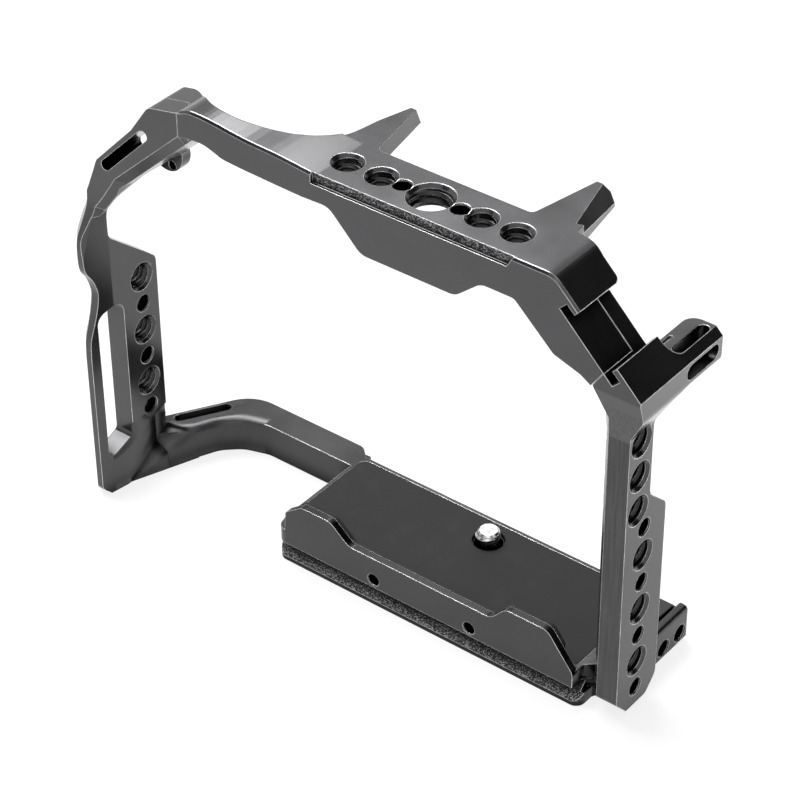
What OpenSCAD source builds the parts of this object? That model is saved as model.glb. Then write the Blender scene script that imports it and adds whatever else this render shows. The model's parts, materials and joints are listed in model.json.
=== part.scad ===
// Camera cage: a machined aluminium frame that closes around a mirrorless camera body.
// X runs left to right seen from the front, -Y is the lens side, +Z is up.
// While it is drawn, X = 0 is the lens axis, Y = 0 the line of the deck holes
// and Z = 0 the bottom face; place() then moves the origin to the middle of the foot.

/* [Cage] */
// Height of the flat deck above the bottom face
deck_z = 114.5; // [108:0.5:124]
// Lens axis to the inner face of the left plate
left_in = 88.7; // [84:0.5:98]
// Lens axis to the inner face of the right column
right_in = 46.9; // [46:0.1:49]
// Front face of the bars, ahead of the line of deck holes
front_d = 8.1; // [7.5:0.1:9.5]
// Gap left along each seam between two machined pieces
seam_gap = 0.1; // [0.05:0.05:0.2]

/* [Top bar] */
// Thickness of the deck
deck_t = 5; // [4.5:0.1:6]
// Deck behind the line of holes
deck_rear = 7.7; // [7:0.1:9]
// Lens axis to the seam with the left frame
left_span = 62.4; // [58:0.5:64]
// Rise of the left stretch above the deck
stretch_rise = 2.6; // [1.5:0.1:3.5]
// Depth of the left stretch below the deck
stretch_t = 6.5; // [5.5:0.1:7.5]
// Waist of the left stretch, ahead of the line of holes
waist_y = 3.1; // [2:0.1:4]
// Depth of the front flap below the deck
flap_drop = 15; // [12:0.5:17]
// Thickness of the front flap
flap_t = 4; // [3:0.1:5]
// Depth of the brow to the right of the flap
brow_t = 9.5; // [8:0.5:11]
// Depth of the shallow recess in the front face
band_d = 0.75; // [0.4:0.05:1.2]
// Height of the shallow recess
band_h = 4.7; // [4:0.1:5]
// Reach of the prongs behind the line of holes
prong_y = 25.5; // [20:0.5:30]
// Thickness of the prongs
prong_t = 4.4; // [3.5:0.1:5]
// Chamfer along the front edge of the deck
edge_c = 0.6; // [0.3:0.1:1]

/* [Threaded holes] */
// Nominal diameter of a 1/4 inch thread
quarter_d = 6.35; // [6.35:0.05:6.5]
// Nominal diameter of a 3/8 inch thread
three_eighths_d = 9.525; // [9.5:0.025:9.6]
// Step from the nominal thread to the plain wall that stands for it
thread_step = 0.175; // [0.1:0.025:0.3]
// Diameter of the small locating holes
pin_d = 4; // [3.8:0.1:4.4]
// Countersink of a 1/4 inch hole
quarter_sink = 7.5; // [7:0.1:8]
// Countersink of a 3/8 inch hole
big_sink = 10.9; // [10.5:0.1:11.5]
// Spacing of the hole pattern
hole_pitch = 7.5; // [7.5:0.1:8]
// First 1/4 inch hole of the deck from the lens axis
deck_near = 12.95; // [12.8:0.05:14]
// Second 1/4 inch hole of the deck from the lens axis
deck_far = 21.9; // [21.5:0.1:22.5]

/* [Cold shoe] */
// Lens axis to the ridge where the shoulder starts
ridge_x = 36.6; // [35.5:0.1:37.5]
// Width between the undercuts
shoe_w = 18.7; // [18.6:0.05:19]
// Width of the opening between the lips
shoe_open = 13.4; // [12.5:0.1:14]
// Thickness of the lips
shoe_lip = 1.48; // [1.2:0.02:1.8]
// Depth of the shoe floor
shoe_depth = 3.96; // [3.5:0.02:4.2]
// Ridge to the upper undercut
shoe_s = 6.22; // [6:0.1:7]
// Shoulder behind the line of holes
shoulder_rear = 6.2; // [5.8:0.1:7]
// Full depth of the shoulder under its slope
shoulder_t = 9; // [8.5:0.1:10]
// Line of the lap between the shoulder and the right bracket
lap_y = 1.9; // [1.5:0.1:2.5]

/* [Right bracket] */
// Width of the column
column_w = 6.87; // [6.5:0.1:8]
// Front face of the column, ahead of the line of holes
column_front = 3.9; // [3.5:0.1:5]
// Rear face of the upper column
neck_rear = 4.7; // [4.4:0.1:5.5]
// Rear face of the lower column
column_rear = 11.2; // [10:0.1:12]
// Lowest point of the column above the bottom face
column_z = 1.9; // [1.5:0.1:3]
// Lens axis to the outer face of the strap lug
lug_x = 58.4; // [58:0.1:60]
// Reach of the strap lug behind the line of holes
lug_y = 21.7; // [20:0.1:24]
// Height of the strap lug
lug_h = 7.4; // [7:0.1:9]
// Width of the strap lug
lug_w = 8.1; // [7.6:0.1:8.6]
// Width of the strap slot
strap_w = 2.8; // [2.4:0.1:3]

/* [Left frame] */
// Thickness of the left plate
plate_t = 5.6; // [5:0.1:7]
// Front edge of the left plate, ahead of the line of holes
plate_front = 13; // [12:0.1:14]
// Rear edge of the left plate
plate_rear = 9.5; // [9:0.1:10.5]
// Height of the left plate's rear corner below the deck
plate_drop = 55.5; // [52:0.5:60]
// Line of the left plate's holes
plate_hole_y = 4.29; // [4:0.1:4.6]
// Width of the strap slot in the corner block
corner_slot = 2.6; // [2.4:0.1:3]
// Width of the window in the left plate
window_w = 8; // [6:0.1:8.4]

/* [Base plate] */
// Thickness of the base plate under the camera
base_t = 9.1; // [8.5:0.1:11]
// Width of the dovetail foot, front to back
foot_w = 38; // [37:0.1:39]
// Depth of the dovetail grooves
groove = 3.9; // [3.4:0.1:4.1]
// Height of the land under the grooves
land = 1.2; // [1:0.1:1.4]
// Lens axis to the left end of the base plate
base_left = 43; // [42:0.5:46]
// Lens axis to the right end of the front lip
lip_right = 42; // [41:0.1:42.6]
// Front face of the lip, ahead of the line of deck holes
lip_front = 4; // [3.8:0.1:4.6]
// Thickness of the metal lip
lip_t = 1.9; // [1.6:0.1:2.4]
// Height of the lip's humps above the seat
lip_h = 9; // [7:0.5:11]
// Height of the lip in its notch above the seat
notch_h = 4.5; // [3.5:0.1:6]
// Diameter of the two lip holes
lip_hole = 3; // [2.5:0.1:3.5]
// Lens axis to each lip hole
lip_hole_x = 13.65; // [12:0.5:17]
// Rear edge of the seat
seat_rear = 29; // [28:0.1:31]
// Rear edge of the arm
arm_rear = 31.8; // [31:0.1:33]
// Width of the arm, front to back
arm_w = 7.5; // [7:0.1:9]
// Width of the arm's strap slot
arm_slot = 2.6; // [2.2:0.1:2.8]
// Lens axis to the outer face of the rear block
block_x = 49.8; // [49.2:0.1:51]

/* [Pads and screws] */
// Thickness of the rubber lining on the lip
pad_t = 1; // [0.8:0.1:1.4]
// Thickness of the rubber sheet let into the seat
sheet_t = 0.8; // [0.6:0.1:1.2]
// Camera screw behind the line of deck holes
screw_y = 21.9; // [19:0.1:22.5]
// Reach of the camera screw above the seat
screw_reach = 3.2; // [2.5:0.1:5]
// Diameter of the camera screw's head
head_d = 15; // [13:0.5:16]
// Thickness of the camera screw's head
head_t = 2.6; // [2.2:0.1:3]
// Play around the camera screw
play = 0.325; // [0.3:0.025:0.4]
// Thickness of the retaining ring
ring_t = 0.8; // [0.6:0.1:1]
// Shank of the joint screws
joint_d = 2; // [1.8:0.1:2.2]
// Head of the joint screws
joint_head = 3.8; // [3.4:0.1:4]
// Height of the joint screws' heads
joint_head_h = 1.6; // [1.2:0.1:2]

/* [Hidden] */
$fn = 48;
// Overrun of every cut
over = 1;
// Steps in each rounded corner, and between the points of a smooth curve
arc_steps = 6;
curve_steps = 4;
// Share of an edge that one rounded corner may use
corner_share = 0.48;
// Corners flatter than this are left as they are
flat_limit = 0.001;
slope = 45;
root_two = sqrt(2);

// Wall radii of the threaded and plain holes
quarter_r = quarter_d/2 - thread_step;
big_r = three_eighths_d/2 - thread_step;
pin_r = pin_d/2;

// Outer faces of the cage
left_out = left_in + plate_t;
column_x = right_in + column_w;
foot_front = lip_front;
foot_rear = foot_w - foot_front;
top_z = deck_z + stretch_rise;

// Middle of the whole cage in the drawing frame
mid_x = (lug_x - left_out)/2;
mid_y = (foot_rear - plate_front)/2;

// Moves a piece from the drawing frame to the frame of the whole cage
module place() {
  translate([-mid_x, -mid_y, 0]) children();
}

function unit(v) = v/norm(v);
function flat(lists) = [for (l = lists) for (p = l) p];
function shared(shares, w, h, x0 = 0, y0 = 0) = [for (s = shares) [x0 + s[0]*w, y0 + s[1]*h]];

// One rounded corner at p, between the points a and b
function corner(a, p, b) =
  let(q = [p[0], p[1]])
  let(u = unit([a[0], a[1]] - q))
  let(w = unit([b[0], b[1]] - q))
  let(half = acos(max(-1, min(1, u*w)))/2)
  let(room = corner_share*min(norm([a[0], a[1]] - q), norm([b[0], b[1]] - q)))
  let(r = len(p) > 2 && norm(u + w) > flat_limit ? min(p[2], room*tan(half)) : 0)
  let(t = r/tan(half))
  let(c = q + unit(u + w)*r/sin(half))
  let(v0 = q + u*t - c)
  let(v1 = q + w*t - c)
  let(a0 = atan2(v0[1], v0[0]))
  let(turn = atan2(v0[0]*v1[1] - v0[1]*v1[0], v0*v1))
  r == 0 ? [q] : [for (i = [0:arc_steps]) c + r*[cos(a0 + turn*i/arc_steps), sin(a0 + turn*i/arc_steps)]];

// A closed outline of [x, y, radius] corners; the radius may be left out
function soft(pts) =
  let(n = len(pts))
  flat([for (i = [0:n - 1]) corner(pts[(i + n - 1) % n], pts[i], pts[(i + 1) % n])]);

// A smooth open curve through a list of points
function between(a, b, c, d, t) =
  (b*2 + (c - a)*t + (a*2 - b*5 + c*4 - d)*pow(t, 2) + (b*3 - a - c*3 + d)*pow(t, 3))/2;
function curve(pts) =
  let(n = len(pts))
  concat(
    [
      for (i = [0:n - 2])
        for (k = [0:curve_steps - 1])
          between(pts[max(i - 1, 0)], pts[i], pts[i + 1], pts[min(i + 2, n - 1)], k/curve_steps)
    ],
    [pts[n - 1]]
  );

// Extrusions of a front outline (x, z) and of a side outline (y, z)
module front_slab(pts, y0, y1) {
  translate([0, y1, 0]) rotate([90, 0, 0]) linear_extrude(y1 - y0) polygon(pts);
}
module side_slab(pts, x0, x1) {
  translate([x0, 0, 0]) rotate([90, 0, 90]) linear_extrude(x1 - x0) polygon(pts);
}
module plan_slab(pts, z0, z1) {
  translate([0, 0, z0]) linear_extrude(z1 - z0) polygon(pts);
}

// The frame of the shoulder: x runs down the slope from the ridge, z stands out of it
module on_slope() {
  translate([ridge_x, 0, deck_z]) rotate([0, slope, 0]) children();
}
// A point of that frame, s down the slope and d under it, in the drawing frame
function slope_at(s, d) = [ridge_x + (s - d)/root_two, deck_z - (s + d)/root_two];

// A countersunk hole along +Z that starts at z = 0 and runs down through t
module hole_cut(r, sink_r, t) {
  translate([0, 0, -t - over]) cylinder(r = r, h = t + over*2);
  translate([0, 0, r - sink_r]) cylinder(r1 = r, r2 = sink_r + over, h = sink_r - r + over);
}

// A small hole with a lighter chamfer
pin_c = 0.3;
module pin_cut(t) {
  hole_cut(pin_r, pin_r + pin_c, t);
}

// Stretch from the left seam to the deck: places along it and heights
stretch_top_shares = [
  [1, 0.46], [0.96, 0.9], [0.92, 1], [0.85, 0.92], [0.7, 0.52], [0.56, 0.36], [0.43, 0.08], [0.385, 0]
];
stretch_low_shares = [[0.45, 1.04], [0.6, 1], [0.78, 0.92], [0.83, 0.8], [0.88, 0.66], [0.93, 0.66], [1, 0.76]];
stretch_top = curve(shared(stretch_top_shares, -left_span, stretch_rise, 0, deck_z));
stretch_low = curve(shared(stretch_low_shares, -left_span, -stretch_t, 0, deck_z));
stretch_root = left_span*stretch_low_shares[0][0];
ridge_r = 5;
seam_lean = 1;
// The seam crosses the shoe floor just short of the lower lip
lip_up_s = shoe_s + (shoe_w - shoe_open)/2;
lip_low_s = lip_up_s + shoe_open;
shoe_end_s = shoe_s + shoe_w;
seam_s = lip_low_s - seam_lean/2;
seam_top = slope_at(seam_s, shoe_depth);
seam_low = slope_at(seam_s + seam_lean, shoulder_t);

// Front outline of the deck, the stretch and the shoulder
bar_top = concat(stretch_top, [[ridge_x, deck_z, ridge_r], slope_at(shoe_end_s, 0)]);
bar_outline = soft(concat(
  stretch_top,
  [
    [ridge_x, deck_z, ridge_r],
    slope_at(seam_s, 0),
    seam_top,
    seam_low,
    [ridge_x - shoulder_t*root_two + deck_t, deck_z - deck_t, deck_t],
    [-stretch_root, deck_z - deck_t]
  ],
  stretch_low
));

// Corners of the front flap: half width of its foot, run of its slanted sides and the brow
flap_half_share = 0.82;
flap_x = flap_half_share*flap_drop;
flap_run = flap_drop - stretch_t;
brow_run = flap_drop - brow_t;
flap_r = 4;
brow_s = 13.6;
brow_low = slope_at(brow_s, shoulder_t + shoe_depth);
brow_end = slope_at(seam_s - shoe_depth/2, shoulder_t + shoe_lip/2);
flap_outline = soft([
  [-stretch_root, deck_z - stretch_t*stretch_low_shares[0][1]],
  [-flap_x - flap_run, deck_z - stretch_t, flap_r],
  [-flap_x, deck_z - flap_drop, flap_r],
  [flap_x, deck_z - flap_drop, flap_r],
  [flap_x + brow_run + seam_lean, deck_z - brow_t, flap_r],
  [ridge_x - brow_t, deck_z - brow_t, flap_r/2],
  [brow_low[0], brow_low[1], flap_r/2],
  [brow_end[0], brow_end[1], flap_r/2],
  seam_low,
  seam_top,
  [ridge_x, deck_z - deck_t/2],
  [-stretch_root, deck_z - deck_t/2]
]);

// Plan outline of the bar without its prongs; the rear edge swings in to the waist
waist_shares = [
  [0.52, -1.9], [0.555, -0.85], [0.59, -0.25], [0.657, 0.25], [0.729, 0.66], [0.804, 0.97], [0.872, 0.98],
  [0.929, 0.7], [0.982, 0.03], [1.039, -0.73], [1.077, -1.06]
];
waist_last = len(waist_shares) - 1;
prong_root = 31.4;
waist = curve(shared(waist_shares, -left_span, -waist_y));
stretch_rear = -waist_y*waist_shares[waist_last][1];
lap_len = 9;
lap_end = left_span + lap_len;
lap_corner = 1.8;
left_lap_y = 2.7;
bar_plan = soft(concat(
  [
    [seam_low[0] + shoulder_t, -plate_front],
    [seam_low[0] + shoulder_t, shoulder_rear],
    [ridge_x + shoe_depth/2, shoulder_rear, lap_corner],
    [prong_root, deck_rear],
    [-prong_root, deck_rear, lap_corner]
  ],
  waist,
  [[-lap_end, stretch_rear], [-lap_end, -plate_front]]
));

// The seam with the left frame in plan: across the front, then back behind a rounded tongue
function lap_plan(gap, side) = soft([
  [side*deck_z*2, -deck_z],
  [-left_span - gap, -deck_z],
  [-left_span - gap, -left_lap_y - gap, lap_corner],
  [-lap_end - gap, -left_lap_y - gap],
  [-lap_end - gap, deck_z],
  [side*deck_z*2, deck_z]
]);

// One prong in plan: roots and tip on both of its edges, and the long bevel on its outer side
prong_in_root = 20;
prong_in_tip = 24;
prong_out_tip = 28.2;
prong_tip_r = 1.2;
prong_tip_run = 2.2;
bevel_top = 29.3;
bevel_y = 9.8;
bevel_angle = 49;
bevel_yaw = 15.2;
prong_plan = soft([
  [prong_in_root - prong_tip_r*2, 0],
  [prong_in_root - prong_tip_r*2, deck_rear],
  [prong_in_root, deck_rear, prong_tip_r*2],
  [prong_in_tip, prong_y + prong_tip_run],
  [prong_out_tip, prong_y],
  [prong_root, deck_rear, prong_tip_r],
  [prong_root, 0]
]);
module prong() {
  difference() {
    plan_slab(prong_plan, deck_z - prong_t, deck_z);
    // The tip slants back under its top edge
    translate([0, prong_y, deck_z]) rotate([atan(prong_tip_run/prong_t), 0, 0]) {
      translate([0, 0, -prong_y]) cube([prong_y*2, prong_y, prong_y*2]);
    }
    // The bevel starts at a step by the root
    translate([bevel_top, bevel_y, deck_z]) rotate([0, 0, bevel_yaw]) {
      rotate([0, bevel_angle, 0]) translate([-prong_t, 0, 0]) cube([prong_t*4, prong_y, prong_t*2]);
    }
  }
}

// The left prong's outer edge swings round into the waist
root_shares = [
  [0.587, -0.339], [0.559, -0.645], [0.535, -1], [0.511, -1.484], [0.49, -2], [0.473, -2.548], [0.458, -3.29],
  [0.447, -4.387], [0.439, -5.419]
];
root_far_share = 0.66;
module root_cut() {
  swing = curve(shared(root_shares, -left_span, -waist_y));
  last = swing[len(swing) - 1];
  plan_slab(
    concat(swing, [[-left_span*root_far_share, last[1]], [-left_span*root_far_share, swing[0][1]]]),
    deck_z - stretch_t*2, top_z + over
  );
}

// Front edge chamfer that follows an outline: the same outline seen at 45 degrees
module front_chamfer(pts, front, c) {
  tilted = [for (p = pts) [p[0], (p[1] + front - c)/root_two]];
  last = tilted[len(tilted) - 1];
  rotate([slope, 0, 0]) front_slab(
    concat(tilted, [[last[0], -top_z], [tilted[0][0], -top_z]]), -top_z*2, top_z*2
  );
}

// The recess is open at the deck; its right end sweeps up in an arc
band_left = 25.5;
band_right = 24;
band_r = 3;
module front_band() {
  front_slab(
    soft([
      [-band_left, deck_z + over],
      [-band_left, deck_z - band_h],
      [band_right, deck_z - band_h, band_r*2],
      [band_right + band_r, deck_z + over]
    ]),
    -front_d - over, -front_d + band_d
  );
}

module deck_holes() {
  for (side = [-1, 1]) {
    translate([side*hole_pitch, 0, deck_z]) pin_cut(deck_t);
    for (x = [deck_near, deck_far]) translate([side*x, 0, deck_z]) hole_cut(quarter_r, quarter_sink/2, deck_t);
  }
  translate([0, 0, deck_z]) hole_cut(big_r, big_sink/2, deck_t);
}

// Channel and undercuts of the cold shoe across a piece, in the frame of the slope
module shoe_cut() {
  on_slope() {
    translate([lip_up_s, -plate_front, -shoe_depth]) cube([shoe_open, plate_front*2, shoe_depth*2]);
    translate([shoe_s, -plate_front, -shoe_depth]) cube([shoe_w, plate_front*2, shoe_depth - shoe_lip]);
  }
}
// The rear corner of the upper lip is rounded
lip_r = 1.5;
module lip_corner() {
  on_slope() translate([lip_up_s - lip_r, shoulder_rear - lip_r, -shoe_lip - over]) difference() {
    cube([lip_r + over, lip_r + over, shoe_lip + over*2]);
    cylinder(r = lip_r, h = shoe_lip + over*2);
  }
}
// The bracket's tongue lies behind the shoe floor, up to the tongue's end under the upper lip
tongue_s = 8;
module tongue_room(gap) {
  on_slope() translate([tongue_s - gap, lap_y - gap, -shoulder_t - over]) {
    cube([shoe_w*2, plate_front, shoulder_t - shoe_lip + over + gap]);
  }
}

// Corner block of the left frame, seen from the front: shares of its width and height
block_w = left_out - left_span;
block_h = 57;
block_shares = [[0.27, 0.013], [0.442, 0.148], [0.8, 0.355], [1, 0.64]];
block_r = 8;
corner_r = 3;
block_radii = [corner_r, block_r, block_r/4, block_r];
under_r = 5;
under_drop = 26.3;
under_in = 6.7;
under_fall = 9.2;
under_end = 1.2;
under_end_drop = 9;
block_outline = soft(concat(
  [[-left_span + under_end, deck_z + stretch_rise*stretch_top_shares[0][1]]],
  [
    for (i = [0:len(block_shares) - 1])
      [-left_span - block_shares[i][0]*block_w, deck_z - block_shares[i][1]*block_h, block_radii[i]]
  ],
  [
    [-left_out, 0],
    [-left_in, 0],
    [-left_in, deck_z - under_drop - under_fall, under_r],
    [-left_in + under_in, deck_z - under_drop, under_r],
    [-left_span + under_end, deck_z - under_end_drop, under_r/2]
  ]
));

// Side outline of the left frame (y, z): a waved front edge, a neck and the plate
wave_shares = [
  [0, 0.79], [0.03, 0.74], [0.14, 0.707], [0.61, 0.671], [0.94, 0.643], [1, 0.603], [0.92, 0.571], [0.57, 0.545],
  [0.37, 0.521], [0.31, 0.499], [0.47, 0.463], [0.71, 0.431], [0.94, 0.4], [1, 0.362]
];
wave = curve(shared(wave_shares, front_d - plate_front, deck_z, -front_d));
// Heights of the rear edge, as shares of the deck's height: foot and top of the neck, then the block
rear_shares = [0.627, 0.735, 0.785, 0.87, 0.95];
neck_y = 5.5;
block_rear = 5;
toe = 2.5;
foot_y = 5.4;
foot_z = 16;
foot_fall = 1;
side_outline = soft(concat(
  [[-front_d, deck_z + stretch_rise]],
  wave,
  [
    [-plate_front, toe, corner_r],
    [-plate_front + toe, 0],
    [foot_y - seam_gap, 0],
    [foot_y - seam_gap, foot_z - foot_fall],
    [plate_rear, foot_z],
    [plate_rear, deck_z - plate_drop, corner_r],
    [-neck_y, deck_z*rear_shares[0], corner_r],
    [-neck_y, deck_z*rear_shares[1], corner_r],
    [block_rear, deck_z*rear_shares[2], corner_r],
    [block_rear, deck_z*rear_shares[3], corner_r*2],
    [stretch_rear, deck_z*rear_shares[4], corner_r],
    [stretch_rear, deck_z + stretch_rise]
  ]
));

module left_frame() {
  color("#4c4c4e") place() difference() {
    union() {
      frame_body();
      corner_boss();
      intersection() {
        foot_flare();
        side_slab(side_outline, -left_out, 0);
      }
    }
    boss_hole();
    screw_holes();
  }
}
module frame_body() {
  difference() {
    intersection() {
      front_slab(block_outline, -plate_front - over, plate_rear + over);
      side_slab(side_outline, -left_out, 0);
      plan_slab(lap_plan(seam_gap, -1), 0, top_z*2);
      outer_side();
    }
    window();
    corner_slot_cut();
    plate_holes();
    corner_bevel();
    plate_edges();
  }
}
// The plate's foot flares inward and runs on into the arm's front face; the flare is split at the
// seam between the two pieces. Places of its plan at the floor and at the step under the arm's lip,
// as shares of its reach behind the line of holes
lip_step = 0.9;
skin = 0.02;
flare_h = base_t - lip_step;
flare_x = -left_in - over;
flare_reach = 12.9;
flare_low_shares = [[0, -0.333], [0.519, 1]];
flare_high_shares = [[0, 0.605], [0.271, 0.783], [0.411, 0.93], [0.473, 1]];
function flare_plan(shares) = concat(
  [[flare_x, shares[0][1]*flare_reach]],
  shared(shares, flare_reach, flare_reach, -left_in),
  [[flare_x, flare_reach]]
);
module foot_flare() {
  hull() {
    plan_slab(flare_plan(flare_low_shares), 0, skin);
    plan_slab(flare_plan(flare_high_shares), flare_h - skin, flare_h);
  }
}
// Half-round boss under the corner block, with a small hole facing the lens side
boss_x = 76.8;
boss_y = 3;
boss_drop = 19.5;
boss_r = 4.8;
boss_len = 2.8;
boss_hole_x = 75.2;
boss_hole_drop = 22.4;
boss_hole_r = 1.1;
boss_floor = 0.8;
module corner_boss() {
  translate([-boss_x, boss_y, deck_z - boss_drop]) rotate([-90, 0, 0]) intersection() {
    cylinder(r = boss_r, h = boss_len);
    rotate([0, 0, -slope]) translate([-boss_r, -over, 0]) cube([boss_r*2, boss_r*2, boss_len]);
  }
}
module boss_hole() {
  translate([-boss_hole_x, boss_y - over, deck_z - boss_hole_drop]) rotate([-90, 0, 0]) {
    cylinder(r = boss_hole_r, h = boss_len - boss_floor + over);
  }
}
// Window of the left plate: heights of its front and rear corners as shares of the deck's height
window_front_shares = [0.088, 0.45];
window_rear_shares = [0.113, 0.47];
window_rim = 2.6;
module window() {
  y0 = -plate_front + window_rim;
  y1 = y0 + window_w;
  side_slab(
    soft([
      [y0, deck_z*window_front_shares[1], corner_r],
      [y0, deck_z*window_front_shares[0], corner_r/2],
      [y1, deck_z*window_rear_shares[0], corner_r/2],
      [y1, deck_z*window_rear_shares[1], corner_r]
    ]),
    -left_out - over, -left_in + over
  );
}
slot_x = 79.1;
slot_drop = 14.7;
slot_len = 19.6;
module corner_slot_cut() {
  translate([-slot_x, 0, deck_z - slot_drop]) rotate([0, -slope, 0]) rotate([90, 0, 0]) {
    linear_extrude(plate_front*2, center = true) union() {
      square([slot_len - corner_slot, corner_slot], center = true);
      for (side = [-1, 1]) translate([side*(slot_len - corner_slot)/2, 0]) circle(d = corner_slot);
    }
  }
}
first_hole = 3.3;
module plate_holes() {
  for (i = [0:5]) {
    translate([-left_in, plate_hole_y, deck_z - plate_drop - first_hole - i*hole_pitch]) rotate([0, 90, 0]) {
      if (i % 2 == 0) hole_cut(quarter_r, quarter_sink/2, plate_t);
      else pin_cut(plate_t);
    }
  }
}
// Lower front edge of the corner block, seen along the slanted underside: a bevel that fades out
// past the bend, and behind it an underside that falls a little towards the rear
bevel_x = 72.7;
bevel_drop = 14.25;
bevel_turn = 137.3;
bevel_d = 2.36;
bevel_bend = 13.5;
bevel_end = 24.6;
bevel_fade = 3.09;
under_tilt = 6.4;
module corner_bevel() {
  translate([-bevel_x, -front_d, deck_z - bevel_drop]) rotate([0, bevel_turn, 0]) {
    rotate([slope, 0, 0]) front_slab(bevel_shape(bevel_bend, bevel_fade/root_two), -skin, plate_rear*2);
    translate([0, bevel_d, bevel_d]) rotate([under_tilt, 0, 0]) {
      front_slab(bevel_shape(bevel_bend + bevel_d, bevel_fade), -bevel_d, plate_rear*2);
    }
  }
}
function bevel_shape(bend, fade) = [
  [-bevel_end, 0],
  [bend, 0],
  [bevel_end, fade],
  [bevel_end + plate_rear, fade + plate_rear],
  [-bevel_end, plate_rear*2]
];
// The inner face leans out ahead of a line
lean_x = 1.2;
module plate_edges() {
  lean = atan2(lean_x, plate_front - neck_y);
  translate([-left_in, -neck_y, -over]) rotate([0, 0, -lean]) translate([0, -plate_front, 0]) {
    cube([plate_front, plate_front, deck_z - under_drop - under_fall + over]);
  }
}
// The outer front edge is cut along the wave: the same wave seen from the cut's angle
edge_x = 2.7;
edge_y = 3;
outer_turn = atan2(edge_y, edge_x);
outer_shift = edge_y*cos(outer_turn) - left_out*sin(outer_turn);
module outer_side() {
  rotate([0, 0, -outer_turn]) side_slab(
    concat(
      [for (p = wave) [outer_shift + p[0]*cos(outer_turn), p[1] + skin]],
      [
        [outer_shift - plate_front*cos(outer_turn), -over],
        [top_z, -over],
        [top_z, top_z*2],
        [outer_shift - front_d*cos(outer_turn), top_z*2]
      ]
    ),
    -top_z*2, top_z*2
  );
}

module top_bar() {
  color("#4a4a4c") place() difference() {
    union() {
      difference() {
        intersection() {
          front_slab(bar_outline, -front_d, deck_rear + over);
          plan_slab(bar_plan, 0, top_z + over);
          plan_slab(lap_plan(0, 1), 0, top_z + over);
          front_chamfer(soft(bar_top), front_d, edge_c);
        }
        front_band();
      }
      intersection() {
        front_slab(flap_outline, -front_d, -front_d + flap_t);
        plan_slab(bar_plan, 0, top_z + over);
      }
      difference() {
        intersection() {
          front_slab(block_outline, -front_d, plate_rear);
          side_slab(side_outline, -lap_end, 0);
          plan_slab(bar_plan, 0, top_z + over);
          plan_slab(lap_plan(0, 1), 0, top_z + over);
        }
        corner_bevel();
      }
      prong();
      mirror([1, 0, 0]) prong();
    }
    root_cut();
    deck_holes();
    shoe_cut();
    tongue_room(0);
    lip_corner();
    screw_holes();
  }
}

// Front outline of the bracket: shoulder, lip, flared outer side and column
flare_top = 27.4;
flare_bottom = 35.5;
flare_r = 5;
seam_foot = 1;
lip_face = slope_at(lip_low_s, 0);
bracket_outline = soft([
  seam_low + [seam_gap, 0],
  seam_top + [seam_gap, 0],
  slope_at(seam_s + seam_gap*2, 0),
  [lug_x, deck_z - (lug_x - ridge_x)],
  [lug_x, deck_z - flare_top, flare_r],
  [column_x, deck_z - flare_bottom, flare_r],
  [column_x, column_z],
  [right_in, column_z],
  [right_in, seam_low[1] - seam_foot]
]);
// Side outline of the bracket (y, z): places on the lens side, the foot, the column and the lug
bend_drop = 22.6;
lean_drop = 36.5;
bend_r = 2;
toe_rise = 4.4;
foot_flat = 7.5;
heel_rise = 3.7;
column_drop = 60.5;
neck_drop = 54.6;
lug_drop = 20;
lug_top = deck_z - lug_drop;
lug_low = lug_top - lug_h;
lean_z = deck_z - lean_drop;
bracket_side = soft([
  [-front_d, deck_z],
  [-front_d, deck_z - bend_drop, bend_r],
  [-column_front, lean_z, bend_r],
  [-column_front, column_z + toe_rise, bend_r/2],
  [0, column_z],
  [foot_flat, column_z, bend_r],
  [column_rear, column_z + heel_rise, corner_r],
  [column_rear, deck_z - column_drop, corner_r],
  [neck_rear, deck_z - neck_drop, corner_r],
  [neck_rear, lug_low, corner_r*2],
  [lug_y + over, lug_low],
  [lug_y + over, deck_z]
]);
lug_r = 2;
lug_in_r = 3;
slope_foot = ridge_x + deck_z - lug_top;
bracket_plan = soft([
  [ridge_x - shoe_w, -plate_front],
  [ridge_x - shoe_w, shoulder_rear],
  [slope_foot, shoulder_rear, lug_r*2],
  [slope_foot, lug_y + over*2],
  [top_z, lug_y + over*2],
  [top_z, -plate_front]
]);
lug_plan = soft([
  [lug_x - lug_w, 0],
  [lug_x - lug_w, lug_y, lug_in_r],
  [lug_x + over, lug_y, lug_r],
  [lug_x + over, 0]
]);
column_hole_drop = 62.58;
column_hole_y = 3.27;
neck_hole_y = 0.45;
neck_hole_drop = 38.34;
neck_pitch = 9.02;
column_share = 0.56;

module right_bracket() {
  color("#4e4e50") place() difference() {
    union() {
      intersection() {
        union() {
          intersection() {
            front_slab(bracket_outline, -plate_front, lug_y + over);
            plan_slab(bracket_plan, 0, top_z + over);
            slope_end();
          }
          translate([right_in, 0, column_z]) cube([column_w, column_rear, deck_z*column_share]);
          intersection() {
            plan_slab(lug_plan, lug_low - lug_h, lug_top);
            front_slab(bracket_outline, -over, lug_y + over);
          }
        }
        side_slab(bracket_side, right_in - over*3, lug_x + over);
        inner_side();
      }
      intersection() {
        tongue_room(-seam_gap);
        on_slope() translate([tongue_s, lap_y, -shoulder_t]) {
          cube([shoe_w - over, shoulder_rear - lap_y - seam_gap/2, shoulder_t - shoe_lip]);
        }
      }
      tenon(0, 0);
    }
    shoe_cut();
    lug_slots();
    column_holes();
    screw_holes();
    tenon_holes();
  }
}
// Above the lug, the sloped body ends where the lug's rear corner begins
module slope_end() {
  translate([0, -plate_front, 0]) cube([lug_x + over, plate_front + lug_y, top_z]);
}
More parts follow.
